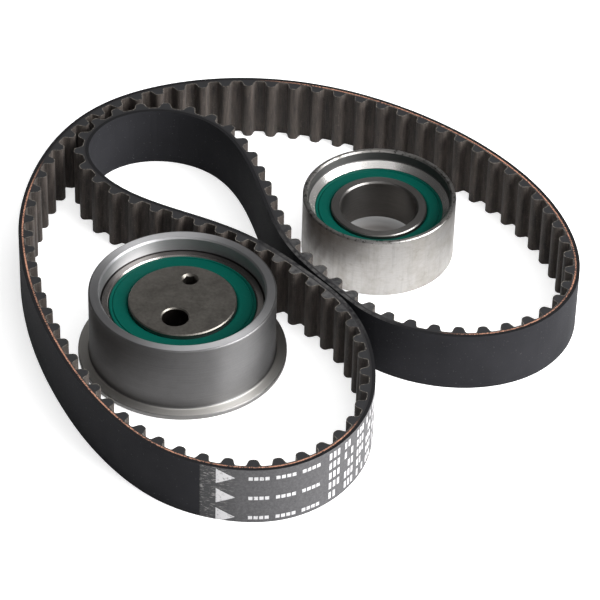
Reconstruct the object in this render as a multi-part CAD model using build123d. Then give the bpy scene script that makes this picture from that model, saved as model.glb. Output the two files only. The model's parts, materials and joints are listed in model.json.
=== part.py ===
from build123d import *
import math
import os

# Timing belt set: an endless toothed belt standing on its edge, a flanged eccentric
# tensioner and a plain idler roller. Millimetres, +Z up, floor at Z = 0, origin under
# the centre of the belt's outline.

# Belt section, measured from the pitch line (the centre of the tension cords)
TOOTH_PITCH = 9.525
TOOTH_COUNT = 113
BELT_WIDTH = 25.4
BACK_DISTANCE = 1.6
CORD_PLY_HALF = 0.3
LAND_DISTANCE = 0.8
TOOTH_HEIGHT = 3.45
FACING_THICKNESS = 0.28
CROWN_RADIUS = 3.5
SHOULDER_RADIUS = 1.6
ROOT_RADIUS = 1.0
CROWN_HALF_ANGLE = math.radians(12)
FLANK_ANGLE = math.radians(70)  # between a tooth's flank and the belt's length
FIRST_TOOTH = 2.75  # where the first tooth stands, so that facing strands mesh

# Plan of the pitch line as the loose belt lies: a big loop whose right-hand side is
# folded in, which leaves a bight that lies back to back with itself at its neck
BELT_ROUTE = [
    (-106, 10), (-103, 54), (-82, 94), (-42, 114), (2, 114), (44, 97), (79, 68),
    (102, 29), (103, -13), (89, -31), (68, -39), (46, -37), (27, -27),
    (15.5, -14.5), (8.5, -6), (-3, 11), (-11, 32), (-17, 53), (-38, 89),
    (-59, 95), (-78, 87), (-86, 67), (-77, 48), (-60, 35), (-41, 26), (-22, 16),
    (6, -9.5), (13, -17.5), (24, -38), (28, -60), (26, -82), (15, -102),
    (-3, -114), (-25, -115), (-46, -107), (-63, -92), (-87, -54), (-102, -12),
]

# Flanged tensioner
TENSIONER_CENTRE = (-42.8, -24.0)
TENSIONER_RADIUS = 35.5
TENSIONER_HEIGHT = 30.0
TENSIONER_RECESS_RADIUS = 31.3
FLANGE_RADIUS = 39.75
FLANGE_THICKNESS = 2.0
HUB_CORE_RADIUS = 17.5
HUB_CAP_THICKNESS = 1.2
HUB_BOTTOM = 4.6
BOLT_HOLE_RADIUS = 5.0
BOLT_HOLE_OFFSET = (-2.4, -10.0)
TOOL_SOCKET_FLATS = 5.0
TOOL_SOCKET_OFFSET = (2.2, 12.4)
HOLE_CHAMFER = 0.5
TENSIONER_BEARING = {
    "bore": 17.5, "inner_shoulder": 20.5, "outer_shoulder": 27.8, "outside": 31.0,
    "bottom": 6.6, "top": 24.0, "ball": 4.5, "ball_count": 12,
}

# Plain idler
IDLER_CENTRE = (31.3, 41.8)
IDLER_RADIUS = 30.0
IDLER_HEIGHT = 26.4
IDLER_RECESS_RADIUS = 27.9
IDLER_COLLAR_BOTTOM = 3.1
IDLER_RACE_TOP = 20.8
IDLER_BEARING = {
    "bore": 15.0, "inner_shoulder": 18.8, "outer_shoulder": 25.1, "outside": 27.5,
    "bottom": 6.4, "top": 20.0, "ball": 3.9, "ball_count": 12,
}
IDLER_RACE_DISH = 2.0  # the outer race's faces slope in by this much towards the seals

# Shared bearing details
RACEWAY_CONFORMITY = 1.04  # raceway radius over ball radius
BALL_CLEARANCE = 0.03
CAGE_HALF_WIDTH = 1.6
CAGE_BASE = 1.2
CAGE_FINGER = 1.2
POCKET_CLEARANCE = 0.15
SEAL_THICKNESS = 1.5
SEAL_SETBACK = 0.2
SEAL_LIP_GAP = 0.1
WASHER_THICKNESS = 0.4
SMALL_CHAMFER = 0.4
EDGE_CHAMFER = 0.6


# ---------------------------------------------------------------- toothed belt

def pitch_line():
    """Closed curve of the cord centre, with exactly the belt's pitch length."""
    draft = Edge.make_spline([Vector(x, y) for x, y in BELT_ROUTE], periodic=True)
    size = TOOTH_COUNT * TOOTH_PITCH / draft.length
    line = Edge.make_spline([Vector(x, y) * size for x, y in BELT_ROUTE], periodic=True)
    middle = line.bounding_box().center()
    return line.moved(Pos(-middle.X, -middle.Y, 0))


def on_belt(line, distance, inward):
    """Point at a distance along the pitch line and a depth towards the teeth."""
    share = (distance / (TOOTH_COUNT * TOOTH_PITCH)) % 1
    along = line.tangent_at(share)
    return line.position_at(share) + Vector(along.Y, -along.X) * inward


def by_tooth(line, distance, offset, inward):
    """Point in the straight frame of the tooth that stands at a distance."""
    share = (distance / (TOOTH_COUNT * TOOTH_PITCH)) % 1
    along = line.tangent_at(share)
    across = Vector(along.Y, -along.X)
    return line.position_at(share) + along * offset + across * inward


def tooth_shape(inset):
    """Joints and mid-points of one tooth flank, from crown to land, at an inset."""
    tip = LAND_DISTANCE + TOOTH_HEIGHT
    reach = CROWN_RADIUS - SHOULDER_RADIUS
    shoulder_x = reach * math.sin(CROWN_HALF_ANGLE)
    shoulder_n = tip - CROWN_RADIUS + reach * math.cos(CROWN_HALF_ANGLE)
    root_n = LAND_DISTANCE + ROOT_RADIUS
    bends = SHOULDER_RADIUS + ROOT_RADIUS
    flank_drop = shoulder_n - root_n + bends * math.cos(FLANK_ANGLE)
    root_x = shoulder_x + bends * math.sin(FLANK_ANGLE) + flank_drop / math.tan(FLANK_ANGLE)

    def shoulder(angle):
        radius = SHOULDER_RADIUS - inset
        return (shoulder_x + radius * math.sin(angle), shoulder_n + radius * math.cos(angle))

    def root(angle):
        radius = ROOT_RADIUS + inset
        return (root_x - radius * math.sin(angle), root_n - radius * math.cos(angle))

    return {
        "tip": (0.0, tip - inset),
        "crown_end": shoulder(CROWN_HALF_ANGLE),
        "shoulder_mid": shoulder((CROWN_HALF_ANGLE + FLANK_ANGLE) / 2),
        "flank_top": shoulder(FLANK_ANGLE),
        "flank_foot": root(FLANK_ANGLE),
        "root_mid": root(FLANK_ANGLE / 2),
        "land": (root_x, LAND_DISTANCE - inset),
    }


def plain_wire(line, inward):
    """Closed line at one depth: an arc over each tooth and an arc over each land."""
    half = tooth_shape(0)["land"][0]
    edges = []
    for index in range(TOOTH_COUNT):
        centre = FIRST_TOOTH + index * TOOTH_PITCH
        stops = [centre - half, centre, centre + half,
                 centre + TOOTH_PITCH / 2, centre + TOOTH_PITCH - half]
        a, b, c, d, e = [on_belt(line, stop, inward) for stop in stops]
        edges += [Edge.make_three_point_arc(a, b, c), Edge.make_three_point_arc(c, d, e)]
    return Wire(edges)


def toothed_wire(line, inset):
    """Closed line of the teeth, set in from the belt's running face."""
    shape = tooth_shape(inset)
    half, land = shape["land"]
    edges = []
    for index in range(TOOTH_COUNT):
        centre = FIRST_TOOTH + index * TOOTH_PITCH

        def at(name, side):
            return by_tooth(line, centre, side * shape[name][0], shape[name][1])

        def root_middle(side):
            bent = on_belt(line, centre + side * shape["root_mid"][0], shape["root_mid"][1])
            return (bent + at("root_mid", side)) * 0.5

        start = on_belt(line, centre - half, land)
        end = on_belt(line, centre + half, land)
        gap_middle = on_belt(line, centre + TOOTH_PITCH / 2, land)
        next_start = on_belt(line, centre + TOOTH_PITCH - half, land)
        edges += [
            Edge.make_three_point_arc(start, root_middle(-1), at("flank_foot", -1)),
            Edge.make_line(at("flank_foot", -1), at("flank_top", -1)),
            Edge.make_three_point_arc(at("flank_top", -1), at("shoulder_mid", -1), at("crown_end", -1)),
            Edge.make_three_point_arc(at("crown_end", -1), at("tip", 1), at("crown_end", 1)),
            Edge.make_three_point_arc(at("crown_end", 1), at("shoulder_mid", 1), at("flank_top", 1)),
            Edge.make_line(at("flank_top", 1), at("flank_foot", 1)),
            Edge.make_three_point_arc(at("flank_foot", 1), root_middle(1), end),
            Edge.make_three_point_arc(end, gap_middle, next_start),
        ]
    return Wire(edges)


def belt_layer(outer, inner):
    """Endless layer between two closed lines, as wide as the belt."""
    return extrude(Face(outer, [inner]), amount=BELT_WIDTH, dir=(0, 0, 1))


def make_belt():
    line = pitch_line()
    back = plain_wire(line, -BACK_DISTANCE)
    cord_outside = plain_wire(line, -CORD_PLY_HALF)
    cord_inside = plain_wire(line, CORD_PLY_HALF)
    rubber_teeth = toothed_wire(line, FACING_THICKNESS)
    running_face = toothed_wire(line, 0)
    return {
        "belt_backing": belt_layer(back, cord_outside),
        "belt_tension_cord": belt_layer(cord_outside, cord_inside),
        "belt_teeth": belt_layer(cord_inside, rubber_teeth),
        "belt_facing_fabric": belt_layer(rubber_teeth, running_face),
    }


# ------------------------------------------------------------- turned sections

def turned(points):
    """Solid of revolution about Z from a closed list of (radius, height) points."""
    outline = Polyline([(r, 0, z) for r, z in points], close=True)
    return revolve(make_face(outline), axis=Axis.Z)


def cut_groove(body, radius, height, size):
    """Cut a circular groove of a given section radius round a turned body."""
    return body - Pos(0, 0, height) * Torus(radius, size)


def bearing_middle(bearing):
    return (bearing["bottom"] + bearing["top"]) / 2


def ball_circle(bearing):
    return (bearing["inner_shoulder"] + bearing["outer_shoulder"]) / 2


def inner_groove(bearing):
    """Radius of the groove's centre circle on the inner race, and the groove's size."""
    size = bearing["ball"] * RACEWAY_CONFORMITY
    return ball_circle(bearing) - bearing["ball"] - BALL_CLEARANCE + size, size


def outer_groove(bearing):
    size = bearing["ball"] * RACEWAY_CONFORMITY
    return ball_circle(bearing) + bearing["ball"] + BALL_CLEARANCE - size, size


def make_balls(bearing):
    balls = PolarLocations(ball_circle(bearing), bearing["ball_count"])
    height = bearing_middle(bearing)
    return [Pos(0, 0, height) * place * Sphere(bearing["ball"]) for place in balls]


def make_cage(bearing):
    """Snap cage: a ring under the balls with fingers that hold them apart."""
    middle = bearing_middle(bearing)
    low = middle - bearing["ball"] - CAGE_BASE
    high = middle + CAGE_FINGER
    inside = ball_circle(bearing) - CAGE_HALF_WIDTH
    outside = ball_circle(bearing) + CAGE_HALF_WIDTH
    cage = turned([(inside, low), (outside, low), (outside, high), (inside, high)])
    for place in PolarLocations(ball_circle(bearing), bearing["ball_count"]):
        cage -= Pos(0, 0, middle) * place * Sphere(bearing["ball"] + POCKET_CLEARANCE)
    return cage


def seal_span(bearing):
    return bearing["inner_shoulder"] + SEAL_LIP_GAP, bearing["outer_shoulder"]


def make_seal(bearing):
    """Upper rubber seal: beaded rim, a shallow groove, and a bevelled lip."""
    lip, rim = seal_span(bearing)
    face = bearing["top"] - SEAL_SETBACK
    back = face - SEAL_THICKNESS
    recess = back + WASHER_THICKNESS
    return turned([
        (lip, face - 0.8), (lip + 0.5, face - 0.2), (lip + 1.0, face), (rim - 1.6, face),
        (rim - 1.4, face - 0.3), (rim - 1.0, face - 0.3), (rim - 0.8, face),
        (rim - 0.25, face), (rim, face - 0.25), (rim, back), (rim - 1.2, back),
        (rim - 1.2, recess), (lip + 1.5, recess), (lip + 1.5, back),
        (lip + 0.4, back), (lip, back + 0.4),
    ])


def make_seal_washer(bearing):
    """Upper steel washer that stiffens the rubber seal from behind."""
    lip, rim = seal_span(bearing)
    back = bearing["top"] - SEAL_SETBACK - SEAL_THICKNESS
    front = back + WASHER_THICKNESS
    return turned([(lip + 1.5, back), (rim - 1.2, back), (rim - 1.2, front), (lip + 1.5, front)])


def below(part, bearing):
    """The same part turned over to the bearing's lower side."""
    height = bearing_middle(bearing)
    return mirror(part, about=Plane.XY.offset(height))


def rolling_parts(name, bearing):
    """Balls, cage, seals and seal washers, which both bearings have alike."""
    seal = make_seal(bearing)
    washer = make_seal_washer(bearing)
    return {
        name + "_balls": Compound(make_balls(bearing)),
        name + "_ball_cage": make_cage(bearing),
        name + "_upper_seal": seal,
        name + "_lower_seal": below(seal, bearing),
        name + "_upper_seal_washer": washer,
        name + "_lower_seal_washer": below(washer, bearing),
    }


# ------------------------------------------------------------ flanged tensioner

def make_tensioner_shell():
    """Turned steel pulley: a flange at the foot, open recesses above and below."""
    bearing = TENSIONER_BEARING
    shell = turned([
        (bearing["outside"], bearing["bottom"]),
        (TENSIONER_RECESS_RADIUS, bearing["bottom"] - 0.3),
        (TENSIONER_RECESS_RADIUS, EDGE_CHAMFER),
        (TENSIONER_RECESS_RADIUS + EDGE_CHAMFER, 0),
        (FLANGE_RADIUS - 0.3, 0),
        (FLANGE_RADIUS, 0.3),
        (FLANGE_RADIUS, FLANGE_THICKNESS - 0.3),
        (FLANGE_RADIUS - 0.3, FLANGE_THICKNESS),
        (TENSIONER_RADIUS, FLANGE_THICKNESS),
        (TENSIONER_RADIUS, TENSIONER_HEIGHT - SMALL_CHAMFER),
        (TENSIONER_RADIUS - SMALL_CHAMFER, TENSIONER_HEIGHT),
        (TENSIONER_RECESS_RADIUS + EDGE_CHAMFER, TENSIONER_HEIGHT),
        (TENSIONER_RECESS_RADIUS, TENSIONER_HEIGHT - EDGE_CHAMFER),
        (TENSIONER_RECESS_RADIUS, bearing["top"] + 0.3),
        (bearing["outside"], bearing["top"]),
    ])
    corner = [edge for edge in shell.edges().filter_by(GeomType.CIRCLE)
              if abs(edge.radius - TENSIONER_RADIUS) < 0.01
              and abs(edge.center().Z - FLANGE_THICKNESS) < 0.01]
    return fillet(corner, 1.0)


def make_tensioner_outer_race():
    b = TENSIONER_BEARING
    race = turned([
        (b["outer_shoulder"], b["bottom"] + EDGE_CHAMFER),
        (b["outer_shoulder"] + EDGE_CHAMFER, b["bottom"]),
        (b["outside"], b["bottom"]), (b["outside"], b["top"]),
        (b["outer_shoulder"] + EDGE_CHAMFER, b["top"]),
        (b["outer_shoulder"], b["top"] - EDGE_CHAMFER),
    ])
    return cut_groove(race, outer_groove(b)[0], bearing_middle(b), outer_groove(b)[1])


def make_tensioner_inner_race():
    b = TENSIONER_BEARING
    race = turned([(b["bore"], b["bottom"]), (b["inner_shoulder"], b["bottom"]),
                   (b["inner_shoulder"], b["top"]), (b["bore"], b["top"])])
    return cut_groove(race, inner_groove(b)[0], bearing_middle(b), inner_groove(b)[1])


def countersunk_hole(radius, bottom, top):
    """Cutter for a through hole with a chamfer at each end."""
    wide = radius + HOLE_CHAMFER
    return turned([
        (0, bottom - 1), (wide + 1, bottom - 1), (radius, bottom + HOLE_CHAMFER),
        (radius, top - HOLE_CHAMFER), (wide + 1, top + 1), (0, top + 1),
    ])


def hexagon_socket(flats, bottom, top):
    """Cutter for a through hexagon socket whose corners are relieved at both ends."""
    corner = flats / math.sqrt(3)
    prism = extrude(RegularPolygon(corner, 6), amount=top - bottom + 2)
    socket = Pos(0, 0, bottom - 1) * prism
    depth = corner + HOLE_CHAMFER - flats / 2
    wide = corner + HOLE_CHAMFER
    for face, away in ((top, 1), (bottom, -1)):
        socket += turned([(0, face - away * depth), (flats / 2, face - away * depth),
                          (wide + 1, face + away), (0, face + away)])
    return socket


def make_tensioner_hub():
    """Eccentric hub: bolt hole off centre, tool socket opposite, cap over the race."""
    b = TENSIONER_BEARING
    top = b["top"] + HUB_CAP_THICKNESS
    cap_radius = b["inner_shoulder"]
    hub = turned([
        (0, HUB_BOTTOM), (HUB_CORE_RADIUS - EDGE_CHAMFER, HUB_BOTTOM),
        (HUB_CORE_RADIUS, HUB_BOTTOM + EDGE_CHAMFER), (HUB_CORE_RADIUS, b["top"]),
        (cap_radius, b["top"]), (cap_radius, top - SMALL_CHAMFER),
        (cap_radius - SMALL_CHAMFER, top), (0, top),
    ])
    bolt_x, bolt_y = BOLT_HOLE_OFFSET
    tool_x, tool_y = TOOL_SOCKET_OFFSET
    hub -= Pos(bolt_x, bolt_y, 0) * countersunk_hole(BOLT_HOLE_RADIUS, HUB_BOTTOM, top)
    hub -= Pos(tool_x, tool_y, 0) * hexagon_socket(TOOL_SOCKET_FLATS, HUB_BOTTOM, top)
    return hub


def make_tensioner():
    parts = {
        "tensioner_shell": make_tensioner_shell(),
        "tensioner_outer_race": make_tensioner_outer_race(),
        "tensioner_inner_race": make_tensioner_inner_race(),
        "tensioner_hub": make_tensioner_hub(),
    }
    parts.update(rolling_parts("tensioner", TENSIONER_BEARING))
    x, y = TENSIONER_CENTRE
    return {name: Pos(x, y, 0) * part for name, part in parts.items()}


# ----------------------------------------------------------------- plain idler

def make_idler_shell():
    """Ground steel roller sleeve with a relieved recess at each end."""
    b = IDLER_BEARING
    seat_low = b["bottom"] - IDLER_RACE_DISH
    seat_high = b["top"] + IDLER_RACE_DISH
    return turned([
        (b["outside"], seat_low), (IDLER_RECESS_RADIUS, seat_low - 0.3),
        (IDLER_RECESS_RADIUS, EDGE_CHAMFER), (IDLER_RECESS_RADIUS + EDGE_CHAMFER, 0),
        (IDLER_RADIUS - SMALL_CHAMFER, 0), (IDLER_RADIUS, SMALL_CHAMFER),
        (IDLER_RADIUS, IDLER_HEIGHT - SMALL_CHAMFER),
        (IDLER_RADIUS - SMALL_CHAMFER, IDLER_HEIGHT),
        (IDLER_RECESS_RADIUS + EDGE_CHAMFER, IDLER_HEIGHT),
        (IDLER_RECESS_RADIUS, IDLER_HEIGHT - EDGE_CHAMFER),
        (IDLER_RECESS_RADIUS, seat_high + 0.3), (b["outside"], seat_high),
    ])


def make_idler_outer_race():
    """Outer race whose end faces are dished towards the seals."""
    b = IDLER_BEARING
    race = turned([
        (b["outer_shoulder"], b["bottom"]), (b["outside"], b["bottom"] - IDLER_RACE_DISH),
        (b["outside"], b["top"] + IDLER_RACE_DISH), (b["outer_shoulder"], b["top"]),
    ])
    return cut_groove(race, outer_groove(b)[0], bearing_middle(b), outer_groove(b)[1])


def make_idler_inner_race():
    """Inner race with the collar that spaces the roller off the engine."""
    b = IDLER_BEARING
    low, high = IDLER_COLLAR_BOTTOM, IDLER_RACE_TOP
    race = turned([
        (b["bore"], low + EDGE_CHAMFER), (b["bore"] + EDGE_CHAMFER, low),
        (b["inner_shoulder"] - SMALL_CHAMFER, low), (b["inner_shoulder"], low + SMALL_CHAMFER),
        (b["inner_shoulder"], high - SMALL_CHAMFER), (b["inner_shoulder"] - SMALL_CHAMFER, high),
        (b["bore"] + EDGE_CHAMFER, high), (b["bore"], high - EDGE_CHAMFER),
    ])
    return cut_groove(race, inner_groove(b)[0], bearing_middle(b), inner_groove(b)[1])


def make_idler():
    parts = {
        "idler_shell": make_idler_shell(),
        "idler_outer_race": make_idler_outer_race(),
        "idler_inner_race": make_idler_inner_race(),
    }
    parts.update(rolling_parts("idler", IDLER_BEARING))
    x, y = IDLER_CENTRE
    return {name: Pos(x, y, 0) * part for name, part in parts.items()}


def main():
    os.makedirs("parts", exist_ok=True)
    for group in (make_belt(), make_tensioner(), make_idler()):
        for name, part in group.items():
            export_step(part, "parts/" + name + ".step")


main()
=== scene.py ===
import json
import math

import bpy
from mathutils import Matrix, Vector


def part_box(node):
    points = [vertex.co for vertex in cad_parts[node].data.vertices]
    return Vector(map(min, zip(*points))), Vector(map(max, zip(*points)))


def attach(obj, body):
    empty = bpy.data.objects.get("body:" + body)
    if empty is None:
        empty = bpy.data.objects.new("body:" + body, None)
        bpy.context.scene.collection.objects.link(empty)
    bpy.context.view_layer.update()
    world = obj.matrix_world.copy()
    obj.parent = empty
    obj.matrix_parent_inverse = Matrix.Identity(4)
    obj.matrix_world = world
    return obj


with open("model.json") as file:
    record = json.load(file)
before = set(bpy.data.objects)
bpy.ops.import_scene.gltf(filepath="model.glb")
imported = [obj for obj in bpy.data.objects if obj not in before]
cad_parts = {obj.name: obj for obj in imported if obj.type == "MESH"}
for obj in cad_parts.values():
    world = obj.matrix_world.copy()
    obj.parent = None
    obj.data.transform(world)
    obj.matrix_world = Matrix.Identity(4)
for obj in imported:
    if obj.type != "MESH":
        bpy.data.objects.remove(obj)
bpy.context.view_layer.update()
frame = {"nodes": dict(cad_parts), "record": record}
nodes = frame["nodes"]
mounts = {mount["name"]: mount for mount in frame["record"]["mounts"]}

MM = 0.001

# Places on the belt: a point inside its front loop, the left and rear edges of the printed
# film, and the neck where the folded-in strands meet and their cut edges are dusty
LOBE_CENTRE = Vector((-18, -66, 0)) * MM
FILM_LEFT = -32.6 * MM
FILM_BACK = -66 * MM
NECK = Vector((12, -8, 25)) * MM

# Where the cut edge is smeared with rubber that hides the cords: centre and reach
SMEARED_CUT = [
    (Vector((-45, 66, 25)) * MM, 62 * MM),
    (Vector((2, 5, 25)) * MM, 46 * MM),
    (Vector((30, -58, 25)) * MM, 36 * MM),
]

# The pulleys' shells: outside, flange and recess round the bearing
TENSIONER_RIM_RADIUS = 35.5 * MM
TENSIONER_RECESS_RADIUS = 31.3 * MM
FLANGE_RADIUS = 39.75 * MM
FLANGE_TOP = 2 * MM
IDLER_RECESS_RADIUS = 27.9 * MM

# Painted shade of the gap between the tensioner's outer race and the shell's wall lies on the race
# from this radius outwards, in this colour
GAP_SHADE_RADIUS = 30.5 * MM
GAP_SHADE = (0.02, 0.018, 0.017)
RUBBER_DUST = (0.085, 0.083, 0.082)

# The print stands this proud of the film, stops this short of the belt's cut edges, and
# has no mark shorter than this
PRINT_LIFT = 0.04 * MM
CUT_MARGIN = 0.05 * MM
SHORTEST_MARK = 0.2 * MM

# Radius of the front loop's back, which turns lengths along the print into bearings
PRINT_RADIUS = 52 * MM

# The print: an arrow head and a row of dashes, three times, then five rows of bars.
# Heights and widths are in millimetres, and a group of marks ends with a gap.
ARROW_BEARING = math.radians(-100)
ARROW_SIZE = 7.0 * MM
DASHES = {"bearing": math.radians(-86), "rows": 3, "top": 21.3, "drop": 9.5, "places": 14,
          "pitch": 2.0, "width": 1.5, "tall": 1.6, "group": 5, "stagger": None}
BARS = {"bearing": math.radians(-51), "rows": 5, "top": 22.2, "drop": 4.75, "places": 26,
        "pitch": 2.1, "width": 1.2, "tall": 3.1, "group": 4, "stagger": 7}

# Softboxes: name, place, width and height, and power in watts, all aimed at one point
LIT_POINT = Vector((0, 0, 0))
SOFTBOXES = [
    ("right_softbox", (1.12, -0.42, 0.72), (1.2, 1.0), 42),
    ("top_softbox", (0.1, 0, 1.6), (1.0, 1.0), 10),
    ("front_fill", (0.3, -1.3, 1.1), (0.8, 0.8), 1.5),
]


# ------------------------------------------------------------------ node helpers

class Paint:
    """A material being built: short names for the shader nodes that it uses."""

    def __init__(self, name):
        self.material = bpy.data.materials.new(name)
        self.material.use_nodes = True
        self.tree = self.material.node_tree
        self.shader = self.tree.nodes["Principled BSDF"]

    def node(self, kind, **settings):
        made = self.tree.nodes.new(kind)
        for key, value in settings.items():
            setattr(made, key, value)
        return made

    def feed(self, value, socket):
        if isinstance(value, bpy.types.NodeSocket):
            self.tree.links.new(value, socket)
        else:
            socket.default_value = value

    def place(self):
        """Position on the piece, in metres, which moves with it."""
        return self.node("ShaderNodeTexCoord").outputs["Object"]

    def facing(self):
        return self.node("ShaderNodeTexCoord").outputs["Normal"]

    def calc(self, operation, *values):
        made = self.node("ShaderNodeMath", operation=operation)
        for value, socket in zip(values, made.inputs):
            self.feed(value, socket)
        return made.outputs[0]

    def split(self, vector):
        made = self.node("ShaderNodeSeparateXYZ")
        self.feed(vector, made.inputs[0])
        return made.outputs

    def join(self, x, y, z):
        made = self.node("ShaderNodeCombineXYZ")
        for value, socket in zip((x, y, z), made.inputs):
            self.feed(value, socket)
        return made.outputs[0]

    def vector(self, operation, *values):
        made = self.node("ShaderNodeVectorMath", operation=operation)
        for value, socket in zip(values, made.inputs):
            self.feed(value, socket)
        return made.outputs["Value" if operation in ("LENGTH", "DISTANCE") else 0]

    def stretch(self, place, x, y, z):
        """Place with each axis scaled, so that a noise of scale 1 is finer along some."""
        return self.vector("MULTIPLY", place, (x, y, z))

    def noise(self, vector, scale, detail=2.0, rough=0.5):
        made = self.node("ShaderNodeTexNoise")
        self.feed(vector, made.inputs["Vector"])
        made.inputs["Scale"].default_value = scale
        made.inputs["Detail"].default_value = detail
        made.inputs["Roughness"].default_value = rough
        return made.outputs["Fac"]

    def span(self, value, low, high, to_low=0.0, to_high=1.0):
        made = self.node("ShaderNodeMapRange", clamp=True)
        for item, key in ((value, "Value"), (low, "From Min"), (high, "From Max"),
                          (to_low, "To Min"), (to_high, "To Max")):
            self.feed(item, made.inputs[key])
        return made.outputs[0]

    def mix(self, share, first, second):
        made = self.node("ShaderNodeMix", data_type="RGBA")
        self.feed(share, made.inputs["Factor"])
        for colour, socket in ((first, made.inputs[6]), (second, made.inputs[7])):
            self.feed(colour if isinstance(colour, bpy.types.NodeSocket) else (*colour, 1), socket)
        return made.outputs[2]

    def bump(self, height, distance, strength=1.0, base=None):
        made = self.node("ShaderNodeBump")
        made.inputs["Distance"].default_value = distance
        made.inputs["Strength"].default_value = strength
        self.feed(height, made.inputs["Height"])
        if base is not None:
            self.feed(base, made.inputs["Normal"])
        return made.outputs[0]

    def gloss_round(self, amount):
        """Spread the gloss across marks that run round the piece's upright middle."""
        made = self.node("ShaderNodeTangent", direction_type="RADIAL", axis="Z")
        self.feed(made.outputs[0], self.shader.inputs["Tangent"])
        self.shader.inputs["Anisotropic"].default_value = amount
        self.shader.inputs["Anisotropic Rotation"].default_value = 0.25

    def finish(self, colour, rough, normal=None, metallic=0.0, **extra):
        self.feed(colour if isinstance(colour, bpy.types.NodeSocket) else (*colour, 1),
                  self.shader.inputs["Base Color"])
        self.feed(rough, self.shader.inputs["Roughness"])
        self.shader.inputs["Metallic"].default_value = metallic
        for key, value in extra.items():
            self.shader.inputs[key.replace("_", " ")].default_value = value
        if normal is not None:
            self.feed(normal, self.shader.inputs["Normal"])
        return self.material


def grey(level, warm=0.0):
    """A grey, leaning to orange by the share in warm."""
    return (level * (1 + warm), level, level * (1 - warm))


# ----------------------------------------------------------------- belt materials

def belt_back_material():
    """Ground black back with a dark cut edge, and a grey lacquer film under the print, whose grey
    is partly its own and partly a painted reflection.
    """
    p = Paint("belt_back")
    place = p.place()
    x, y, _ = p.split(place)
    cut = p.span(p.split(p.facing())[2], 0.5, 0.9)
    fine = p.noise(place, 2600, 3, 0.6)
    colour = p.mix(p.noise(place, 60, 2), (0.018, 0.018, 0.0205), (0.031, 0.031, 0.0345))
    speck = p.span(p.noise(place, 1300, 1), 0.71, 0.76)
    colour = p.mix(speck, colour, (0.06, 0.06, 0.063))

    film = p.calc("MULTIPLY", p.span(x, FILM_LEFT - 0.3 * MM, FILM_LEFT + 0.3 * MM),
                  p.span(y, FILM_BACK + 1 * MM, FILM_BACK - 1 * MM))
    film = p.calc("MULTIPLY", film, p.calc("SUBTRACT", 1.0, cut))
    # The film's grey is partly its own colour and partly a painted reflection; it is painted darker
    # over its left 15 mm, where it is also scuffed
    dim_scuffed_end = p.span(x, FILM_LEFT + 15 * MM, FILM_LEFT + 3 * MM)
    mottle = p.span(p.noise(place, 1100, 4, 0.7), 0.35, 0.7)
    film_and_reflection = p.mix(mottle, (0.068, 0.067, 0.070), (0.110, 0.108, 0.112))
    film_and_reflection = p.mix(p.calc("MULTIPLY", dim_scuffed_end, 0.75), film_and_reflection, (0.040, 0.040, 0.042))
    scuffs = p.noise(p.stretch(place, 450, 450, 1500), 1.0, 4, 0.7)
    scuffs = p.calc("MULTIPLY", p.span(scuffs, 0.54, 0.64), dim_scuffed_end)
    film_and_reflection = p.mix(p.calc("MULTIPLY", scuffs, 0.7), film_and_reflection, (0.34, 0.33, 0.32))
    colour = p.mix(film, colour, film_and_reflection)

    dust = p.calc("MULTIPLY", dust_at_neck(p, place), cut)
    colour = p.mix(cut, colour, (0.014, 0.014, 0.015))
    colour = p.mix(dust, colour, RUBBER_DUST)
    p.feed(p.calc("MULTIPLY", film, 0.3), p.shader.inputs["Coat Weight"])
    rough = p.span(fine, 0.3, 0.7, 0.52, 0.64)
    return p.finish(colour, rough, p.bump(fine, 0.02 * MM, 0.5), Specular_IOR_Level=0.03,
                    Coat_Roughness=0.32)


def dust_at_neck(p, place):
    """Share of pale rubber dust, which lies in patches round the neck of the fold."""
    near = p.span(p.vector("DISTANCE", place, NECK), 42 * MM, 16 * MM)
    return p.calc("MULTIPLY", near, p.span(p.noise(place, 260, 4, 0.65), 0.38, 0.62, 0.0, 0.8))


def cut_rubber_material():
    """Knife-cut ends of the teeth."""
    p = Paint("cut_rubber")
    place = p.place()
    grain = p.noise(place, 1800, 4, 0.6)
    colour = p.mix(grain, (0.008, 0.008, 0.009), (0.034, 0.034, 0.036))
    colour = p.mix(dust_at_neck(p, place), colour, RUBBER_DUST)
    return p.finish(colour, p.span(grain, 0.3, 0.7, 0.55, 0.75), p.bump(grain, 0.05 * MM, 0.6),
                    Specular_IOR_Level=0.2)


def cord_material():
    """Resin-dipped cord: orange-brown where the cut has bared it, dark between."""
    p = Paint("cut_cord")
    place = p.place()
    strands = p.noise(place, 1500, 3, 0.65)
    patches = p.noise(place, 55, 2)
    shown = 1.0
    for centre, reach in SMEARED_CUT:
        near = p.vector("DISTANCE", place, centre)
        shown = p.calc("MULTIPLY", shown, p.span(near, reach - 6 * MM, reach + 6 * MM))
    bare = p.span(p.calc("ADD", strands, p.calc("MULTIPLY", patches, 0.4)), 0.58, 0.78)
    bare = p.calc("MULTIPLY", bare, shown)
    tint = p.mix(p.noise(place, 900, 2), (0.26, 0.10, 0.055), (0.66, 0.36, 0.25))
    colour = p.mix(bare, (0.014, 0.013, 0.014), tint)
    return p.finish(colour, 0.6, p.bump(strands, 0.12 * MM, 0.8), Specular_IOR_Level=0.25)


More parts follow.
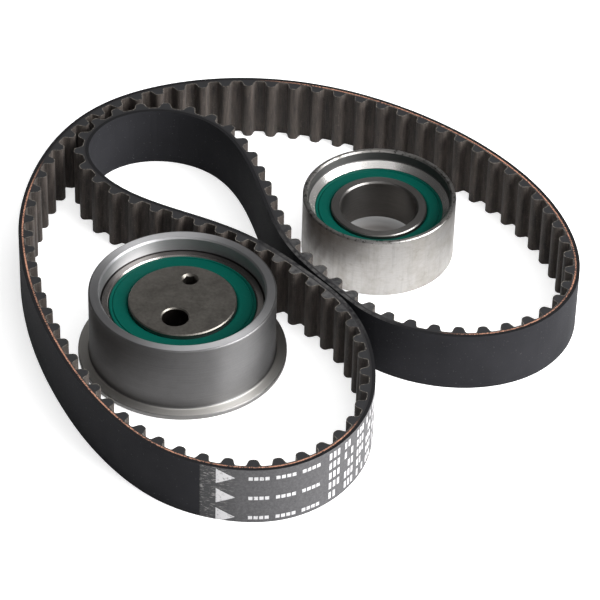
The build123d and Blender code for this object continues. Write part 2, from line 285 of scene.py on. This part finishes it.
def facing_material():
    """Woven nylon over the teeth: a fine weave, worn in streaks, pale where it is cut."""
    p = Paint("facing_fabric")
    place = p.place()
    x, y, z = p.split(place)
    warp = p.calc("SINE", p.calc("MULTIPLY", z, 2 * math.pi / (0.42 * MM)))
    weft = p.calc("SINE", p.calc("MULTIPLY", p.calc("ADD", x, y), 2 * math.pi / (0.5 * MM)))
    weave = p.calc("MULTIPLY", warp, weft)
    worn = p.noise(p.stretch(place, 420, 420, 60), 1.0, 4, 0.6)
    streaks = p.noise(p.stretch(place, 1600, 1600, 170), 1.0, 4, 0.65)
    share = p.calc("ADD", p.calc("MULTIPLY", worn, 0.5), p.calc("MULTIPLY", streaks, 0.5))
    colour = p.mix(p.span(share, 0.34, 0.64), (0.013, 0.0105, 0.0095), (0.078, 0.063, 0.054))
    flecks = p.span(p.noise(place, 1900, 2, 0.6), 0.60, 0.70)
    colour = p.mix(p.calc("MULTIPLY", flecks, 0.4), colour, (0.17, 0.145, 0.13))
    cut = p.span(p.split(p.facing())[2], 0.5, 0.9)
    frayed = p.span(p.noise(place, 1400, 3, 0.6), 0.42, 0.6)
    colour = p.mix(cut, colour, p.mix(frayed, (0.018, 0.017, 0.016), (0.15, 0.135, 0.115)))
    normal = p.bump(weave, 0.03 * MM, 0.5, p.bump(share, 0.25 * MM, 0.6))
    return p.finish(colour, p.span(share, 0.3, 0.7, 0.52, 0.7), normal, Sheen_Weight=0.08,
                    Specular_IOR_Level=0.3)


def print_material():
    """White transfer print, thin and worn so that the film shows through."""
    p = Paint("white_print")
    worn = p.span(p.noise(p.place(), 900, 4, 0.7), 0.30, 0.46)
    return p.finish(p.mix(worn, (0.13, 0.125, 0.13), (0.6, 0.59, 0.6)), 0.5)


# ---------------------------------------------------------------- metal materials

def turned_lines(p, centre, along, spacing):
    """Fine marks round an upright axis, with each point's distance from it and height."""
    x, y, z = p.split(p.vector("SUBTRACT", p.place(), (centre.x, centre.y, 0)))
    radius = p.vector("LENGTH", p.join(x, y, 0.0))
    marks = p.join(p.calc("MULTIPLY", p.calc("DIVIDE", x, radius), along),
                   p.calc("MULTIPLY", p.calc("DIVIDE", y, radius), along),
                   p.calc("DIVIDE", p.calc("ADD", radius, z), spacing))
    return p.noise(marks, 1.0, 3, 0.6), radius, z


def clouded(p, lines):
    """Turned marks with broad faint clouding, as a share from dark to light."""
    cloud = p.noise(p.place(), 90, 4, 0.6)
    share = p.calc("ADD", p.calc("MULTIPLY", lines, 0.6), p.calc("MULTIPLY", cloud, 0.4))
    return p.span(share, 0.35, 0.65)


def between(p, value, low, high, blur):
    """1 between two values and 0 outside them, with soft ends."""
    return p.calc("MULTIPLY", p.span(value, low - blur, low + blur),
                  p.span(value, high + blur, high - blur))


def turned_material(name, centre, dark, light, rough, gap_shade_from=None):
    """Turned steel race, with painted shade of the gap beside it from a radius outwards where one
    is given.
    """
    p = Paint(name)
    lines, radius, _ = turned_lines(p, centre, 2.5, 0.3 * MM)
    grain = p.noise(p.place(), 2500, 2)
    colour = p.mix(clouded(p, lines), dark, light)
    if gap_shade_from is not None:
        # Painted shade of the gap between the race and the shell's wall
        race_gap_shade = p.span(radius, gap_shade_from - 0.1 * MM, gap_shade_from + 0.1 * MM)
        colour = p.mix(race_gap_shade, colour, GAP_SHADE)
    p.gloss_round(0.6)
    return p.finish(colour, p.span(grain, 0.35, 0.65, rough - 0.01, rough + 0.01),
                    p.bump(lines, 0.0006 * MM, 0.3), metallic=1.0)


def tensioner_shell_material(centre, race_top):
    """Satin grey steel: the flange is painted lighter with a darker edge, a painted highlight and
    shade, and painted shade lies in the gap round the race.
    """
    p = Paint("tensioner_satin_steel")
    lines, radius, z = turned_lines(p, centre, 2.5, 0.13 * MM)
    grain = p.noise(p.place(), 2500, 2)
    share = clouded(p, lines)
    inside = p.span(radius, TENSIONER_RIM_RADIUS - 0.5 * MM, TENSIONER_RIM_RADIUS - 0.7 * MM)
    colour = p.mix(inside, p.mix(share, (0.165, 0.163, 0.164), (0.215, 0.212, 0.213)),
                   p.mix(share, (0.36, 0.358, 0.366), (0.45, 0.447, 0.455)))
    outside = p.span(radius, TENSIONER_RIM_RADIUS - 0.2 * MM, TENSIONER_RIM_RADIUS + 0.3 * MM)
    # Painted highlight: the flange's top is painted much lighter than the wall
    flange = p.calc("MULTIPLY", p.span(z, FLANGE_TOP + 0.35 * MM, FLANGE_TOP + 0.1 * MM), outside)
    colour = p.mix(flange, colour, p.mix(lines, (0.50, 0.485, 0.46), (0.62, 0.605, 0.58)))
    # Painted shade: a darker band round the flange's outer edge
    edge = p.span(radius, FLANGE_RADIUS - 0.4 * MM, FLANGE_RADIUS - 0.2 * MM)
    colour = p.mix(edge, colour, (0.27, 0.265, 0.26))
    at_recess = p.span(radius, TENSIONER_RECESS_RADIUS + 0.4 * MM,
                       TENSIONER_RECESS_RADIUS + 0.2 * MM)
    # Painted shade on the shell's wall in the gap just above the race
    at_race = between(p, z, race_top - 1.5 * MM, race_top + 0.25 * MM, 0.1 * MM)
    wall_gap_shade = p.calc("MULTIPLY", at_race, at_recess)
    colour = p.mix(wall_gap_shade, colour, GAP_SHADE)
    p.gloss_round(0.8)
    return p.finish(colour, p.span(grain, 0.35, 0.65, 0.44, 0.52), p.bump(lines, 0.008 * MM, 0.4),
                    metallic=1.0)


def idler_shell_material(centre, top):
    """Ground sleeve: stained and streaked outside, nicked at the rim, dark in the recess."""
    p = Paint("idler_ground_steel")
    lines, radius, z = turned_lines(p, centre, 6.0, 0.15 * MM)
    place = p.place()
    stain = p.span(p.noise(place, 120, 5, 0.65), 0.42, 0.68)
    spots = p.span(p.noise(place, 420, 4, 0.65), 0.55, 0.72)
    upright = p.span(p.noise(p.stretch(place, 700, 700, 45), 1.0, 3, 0.6), 0.5, 0.75)
    colour = p.mix(p.span(lines, 0.3, 0.7), (0.47, 0.455, 0.44), (0.56, 0.545, 0.53))
    colour = p.mix(p.calc("MULTIPLY", stain, 0.65), colour, (0.38, 0.352, 0.315))
    colour = p.mix(p.calc("MULTIPLY", spots, 0.4), colour, (0.30, 0.27, 0.23))
    colour = p.mix(p.calc("MULTIPLY", upright, 0.25), colour, (0.24, 0.23, 0.22))
    rim = p.span(z, top - 0.9 * MM, top - 0.45 * MM)
    nicks = p.span(p.noise(place, 700, 3, 0.7), 0.52, 0.62)
    colour = p.mix(p.calc("MULTIPLY", rim, nicks), colour, (0.05, 0.048, 0.045))
    colour = p.mix(p.calc("MULTIPLY", rim, 0.45), colour, (0.12, 0.115, 0.11))
    at_wall = p.span(radius, IDLER_RECESS_RADIUS + 0.25 * MM, IDLER_RECESS_RADIUS + 0.1 * MM)
    recess = p.calc("MULTIPLY", at_wall, p.span(z, top - 0.4 * MM, top - 0.7 * MM))
    colour = p.mix(recess, colour, (0.10, 0.098, 0.097))
    rough = p.span(p.calc("ADD", p.calc("MULTIPLY", stain, 0.5), p.calc("MULTIPLY", lines, 0.5)),
                   0.2, 0.8, 0.30, 0.42)
    rough = p.calc("ADD", rough, p.calc("MULTIPLY", recess, 0.2))
    p.gloss_round(0.6)
    return p.finish(colour, rough, p.bump(lines, 0.02 * MM, 0.5), metallic=1.0)


def hub_material(hole, hole_radius, face):
    """Dark ground face, mottled under faint straight grinding lines; the bolt hole's wall is
    painted near black, a painted shade.
    """
    p = Paint("hub_ground_steel")
    place = p.place()
    x, y, z = p.split(place)
    strokes = p.noise(p.stretch(place, 60, 2200, 2200), 1.0, 3, 0.6)
    mottle = p.noise(place, 900, 5, 0.65)
    cloud = p.noise(place, 130, 3, 0.55)
    share = p.calc("ADD", p.calc("MULTIPLY", mottle, 0.5), p.calc("MULTIPLY", cloud, 0.5))
    colour = p.mix(p.span(share, 0.36, 0.64), (0.145, 0.135, 0.121), (0.225, 0.211, 0.190))
    x_out = p.calc("SUBTRACT", x, hole.x)
    y_out = p.calc("SUBTRACT", y, hole.y)
    from_hole = p.vector("LENGTH", p.join(x_out, y_out, 0.0))
    # Painted shade: the bolt hole's wall is painted near black
    inside = p.calc("MULTIPLY", p.span(from_hole, hole_radius + 0.3 * MM, hole_radius + 0.1 * MM),
                    p.span(z, face - 0.4 * MM, face - 0.6 * MM))
    colour = p.mix(inside, colour, (0.045, 0.038, 0.034))
    rough = p.span(p.calc("ADD", strokes, mottle), 0.7, 1.3, 0.34, 0.46)
    return p.finish(colour, rough, p.bump(strokes, 0.006 * MM, 0.4), metallic=1.0)


# ---------------------------------------------------------------- other materials

def seal_material():
    """Green moulded rubber, faintly dusty."""
    p = Paint("green_seal")
    place = p.place()
    grain = p.noise(place, 1400, 3, 0.6)
    dust = p.span(p.noise(place, 500, 4, 0.7), 0.6, 0.75)
    colour = p.mix(grain, (0.0, 0.050, 0.036), (0.0, 0.070, 0.054))
    colour = p.mix(p.calc("MULTIPLY", dust, 0.2), colour, (0.03, 0.14, 0.11))
    return p.finish(colour, p.span(grain, 0.3, 0.7, 0.38, 0.5), p.bump(grain, 0.02 * MM, 0.4),
                    Specular_IOR_Level=0.08)


def plain_material(name, dark, light, rough, metallic):
    """Bearing parts out of sight: an even grain."""
    p = Paint(name)
    grain = p.noise(p.place(), 1200, 3)
    return p.finish(p.mix(grain, dark, light), p.span(grain, 0.3, 0.7, rough - 0.04, rough + 0.06),
                    p.bump(grain, 0.01 * MM, 0.4), metallic)


def give(material, *names):
    """Make a material the only one of each named CAD node."""
    for name in names:
        nodes[name].data.materials.clear()
        nodes[name].data.materials.append(material)


def axis_of(node):
    """Middle of a round node, through which its upright axis runs."""
    low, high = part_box(node)
    return (low + high) / 2


# ------------------------------------------------------------------- printed marks

def on_back(angle, height):
    """Point on the belt's back and its outward direction, at a bearing from the loop's middle."""
    beyond = 200
    out = Vector((math.cos(angle), math.sin(angle), 0))
    start = LOBE_CENTRE + out * beyond * MM + Vector((0, 0, height))
    _, point, normal, _ = nodes["belt_backing"].ray_cast(start, -out)
    return point + normal * PRINT_LIFT


def patch(angle, width, first, second):
    """One printed patch: its middle bearing, its width, and its (low, high) at each end."""
    belt_low, belt_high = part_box("belt_backing")
    reach = (on_back(angle, belt_high.z / 2) - LOBE_CENTRE).to_2d().length
    half = width / 2 / reach
    ends = []
    for side, (low, high) in ((-half, first), (half, second)):
        low = min(max(low, belt_low.z + CUT_MARGIN), belt_high.z - CUT_MARGIN)
        high = min(max(high, belt_low.z + CUT_MARGIN), belt_high.z - CUT_MARGIN)
        ends.append((on_back(angle + side, low), on_back(angle + side, high)))
    return [ends[0][0], ends[1][0], ends[1][1], ends[0][1]]


def bar(angle, width, height, tall):
    """One upright bar, by its middle."""
    span = (height - tall / 2, height + tall / 2)
    return patch(angle, width, span, span)


def arrow(angle, height, size):
    """Strips of a plain solid arrow head that points along the belt."""
    strips = 6
    step = size / strips
    reach = (on_back(angle, height) - LOBE_CENTRE).to_2d().length
    parts = []
    for index in range(strips):
        near = size / 2 * (1 - index / strips)
        far = size / 2 * (1 - (index + 1) / strips)
        parts.append(patch(angle + (index + 0.5) * step / reach, step,
                           (height - near, height + near), (height - far, height + far)))
    return parts


def row_height(rows, row):
    return (rows["top"] - rows["drop"] * row) * MM


def marks_in_row(rows, row):
    """The bars of one row, less the gap after each group and, if staggered, one more."""
    step = 1 / PRINT_RADIUS
    marks = []
    for index in range(rows["places"]):
        ends_group = index % rows["group"] == rows["group"] - 1
        stagger = rows["stagger"]
        skipped = stagger is not None and (index + row) % stagger == stagger - 1
        if not ends_group and not skipped:
            marks.append(bar(rows["bearing"] + index * rows["pitch"] * MM * step,
                             rows["width"] * MM, row_height(rows, row), rows["tall"] * MM))
    return marks


def printed_marks():
    """The whole print, as one thin piece that rides with the belt."""
    quads = []
    for row in range(DASHES["rows"]):
        quads += arrow(ARROW_BEARING, row_height(DASHES, row), ARROW_SIZE)
        quads += marks_in_row(DASHES, row)
    for row in range(BARS["rows"]):
        quads += marks_in_row(BARS, row)
    points = []
    faces = []
    for corners in quads:
        if corners[3].z - corners[0].z < SHORTEST_MARK:
            continue
        faces.append([len(points) + k for k in range(4)])
        points += corners
    mesh = bpy.data.meshes.new("belt_printed_marks")
    mesh.from_pydata([tuple(v) for v in points], [], faces)
    marks = bpy.data.objects.new("belt_printed_marks", mesh)
    bpy.context.scene.collection.objects.link(marks)
    mesh.materials.append(print_material())
    film = marks.modifiers.new("film", "SOLIDIFY")
    film.thickness = PRINT_LIFT * 1.5
    film.offset = -1
    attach(marks, "belt")


# -------------------------------------------------------------------------- paint

tensioner = axis_of("tensioner_shell")
tensioner_race_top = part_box("tensioner_outer_race")[1].z
hub_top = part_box("tensioner_hub")[1].z
idler = axis_of("idler_shell")
idler_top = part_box("idler_shell")[1].z
bolt_hole = mounts["tensioner_bolt_hole"]

give(belt_back_material(), "belt_backing")
give(cut_rubber_material(), "belt_teeth")
give(cord_material(), "belt_tension_cord")
give(facing_material(), "belt_facing_fabric")
give(tensioner_shell_material(tensioner, tensioner_race_top), "tensioner_shell")
give(turned_material("tensioner_race_steel", tensioner, (0.22, 0.205, 0.20), (0.30, 0.28, 0.265),
                     0.26, gap_shade_from=GAP_SHADE_RADIUS), "tensioner_outer_race")
give(turned_material("tensioner_inner_race_steel", tensioner, grey(0.26), grey(0.33), 0.3),
     "tensioner_inner_race")
give(hub_material(Vector(bolt_hole["pos_m"]), bolt_hole["dims"]["r_mm"] * MM, hub_top),
     "tensioner_hub")
give(idler_shell_material(idler, idler_top), "idler_shell")
give(turned_material("idler_race_steel", idler, grey(0.60, 0.03), grey(0.70, 0.03), 0.26),
     "idler_outer_race")
give(turned_material("idler_inner_race_steel", idler, grey(0.17, 0.04), grey(0.22, 0.04), 0.32),
     "idler_inner_race")
give(seal_material(), "tensioner_upper_seal", "tensioner_lower_seal",
     "idler_upper_seal", "idler_lower_seal")
give(plain_material("ball_steel", grey(0.6), grey(0.7), 0.12, 1.0),
     "tensioner_balls", "idler_balls")
give(plain_material("cage_nylon", (0.55, 0.47, 0.33), (0.66, 0.58, 0.43), 0.5, 0.0),
     "tensioner_ball_cage", "idler_ball_cage")
give(plain_material("washer_steel", grey(0.4), grey(0.5), 0.35, 1.0),
     "tensioner_upper_seal_washer", "tensioner_lower_seal_washer",
     "idler_upper_seal_washer", "idler_lower_seal_washer")
printed_marks()


# -------------------------------------------------------------------------- stage

def softbox(name, place, size, power):
    """White rectangular light that faces the lit point."""
    data = bpy.data.lights.new(name, "AREA")
    data.shape = "RECTANGLE"
    data.size, data.size_y = size
    data.energy = power
    lamp = bpy.data.objects.new(name, data)
    lamp.location = place
    lamp.rotation_euler = (LIT_POINT - Vector(place)).to_track_quat("-Z", "Y").to_euler()
    bpy.context.scene.collection.objects.link(lamp)


def make_floor(shaded):
    """White floor that shows a little brighter than it lights the parts, with a painted shadow
    round the idler where it is darker and does not glow.
    """
    half = 3.0
    mesh = bpy.data.meshes.new("floor")
    mesh.from_pydata([(-half, -half, 0), (half, -half, 0), (half, half, 0), (-half, half, 0)],
                     [], [(0, 1, 2, 3)])
    floor = bpy.data.objects.new("floor", mesh)
    bpy.context.scene.collection.objects.link(floor)
    p = Paint("white_floor")
    distance = p.vector("DISTANCE", p.place(), (shaded.x, shaded.y, 0))
    # Painted shadow: the floor is darker within 30 mm of the idler's axis, fully inside 13 mm
    clear_of_painted_shadow = p.span(distance, 13 * MM, 30 * MM)
    p.shader.inputs["Emission Color"].default_value = (1, 1, 1, 1)
    seen = p.node("ShaderNodeLightPath").outputs["Is Camera Ray"]
    glow = p.calc("MULTIPLY", clear_of_painted_shadow, p.span(seen, 0.0, 1.0, 0.1, 0.6))
    p.feed(glow, p.shader.inputs["Emission Strength"])
    mesh.materials.append(p.finish(p.mix(clear_of_painted_shadow, (0.28, 0.265, 0.255), (0.85, 0.85, 0.85)), 0.7))


def make_camera():
    """Long lens from the front and above, aimed at the floor near the belt's middle."""
    elevation = math.radians(39.99)
    roll = math.radians(1.607)
    distance = 1.3588
    aim = Vector((1.4 * MM, 7.9 * MM, 0))
    ahead = Vector((0, math.cos(elevation), -math.sin(elevation)))
    level_up = Vector((0, math.sin(elevation), math.cos(elevation)))
    right = Vector((1, 0, 0)) * math.cos(roll) + level_up * math.sin(roll)
    up = right.cross(ahead)
    turn = Matrix((right, up, -ahead)).transposed().to_4x4()
    data = bpy.data.cameras.new("camera")
    data.sensor_width = 36
    data.lens = 210
    data.clip_start = 0.05
    camera = bpy.data.objects.new("camera", data)
    camera.matrix_world = Matrix.Translation(aim - ahead * distance) @ turn
    bpy.context.scene.collection.objects.link(camera)
    bpy.context.scene.camera = camera


def make_world():
    """White surroundings, dim on the left and brighter towards the right."""
    world = bpy.data.worlds.new("studio")
    world.use_nodes = True
    tree = world.node_tree
    sky = tree.nodes["Background"]
    around = tree.nodes.new("ShaderNodeTexCoord")
    side = tree.nodes.new("ShaderNodeSeparateXYZ")
    fade = tree.nodes.new("ShaderNodeMapRange")
    tree.links.new(around.outputs["Generated"], side.inputs[0])
    tree.links.new(side.outputs["X"], fade.inputs["Value"])
    tree.links.new(fade.outputs[0], sky.inputs["Strength"])
    for key, value in (("From Min", -0.8), ("From Max", 0.8), ("To Min", 0.06), ("To Max", 0.42)):
        fade.inputs[key].default_value = value
    sky.inputs["Color"].default_value = (1, 1, 1, 1)
    bpy.context.scene.world = world


make_floor(idler)
make_camera()
for name, place, size, power in SOFTBOXES:
    softbox(name, place, size, power)
make_world()
bpy.context.scene.view_settings.view_transform = "Standard"
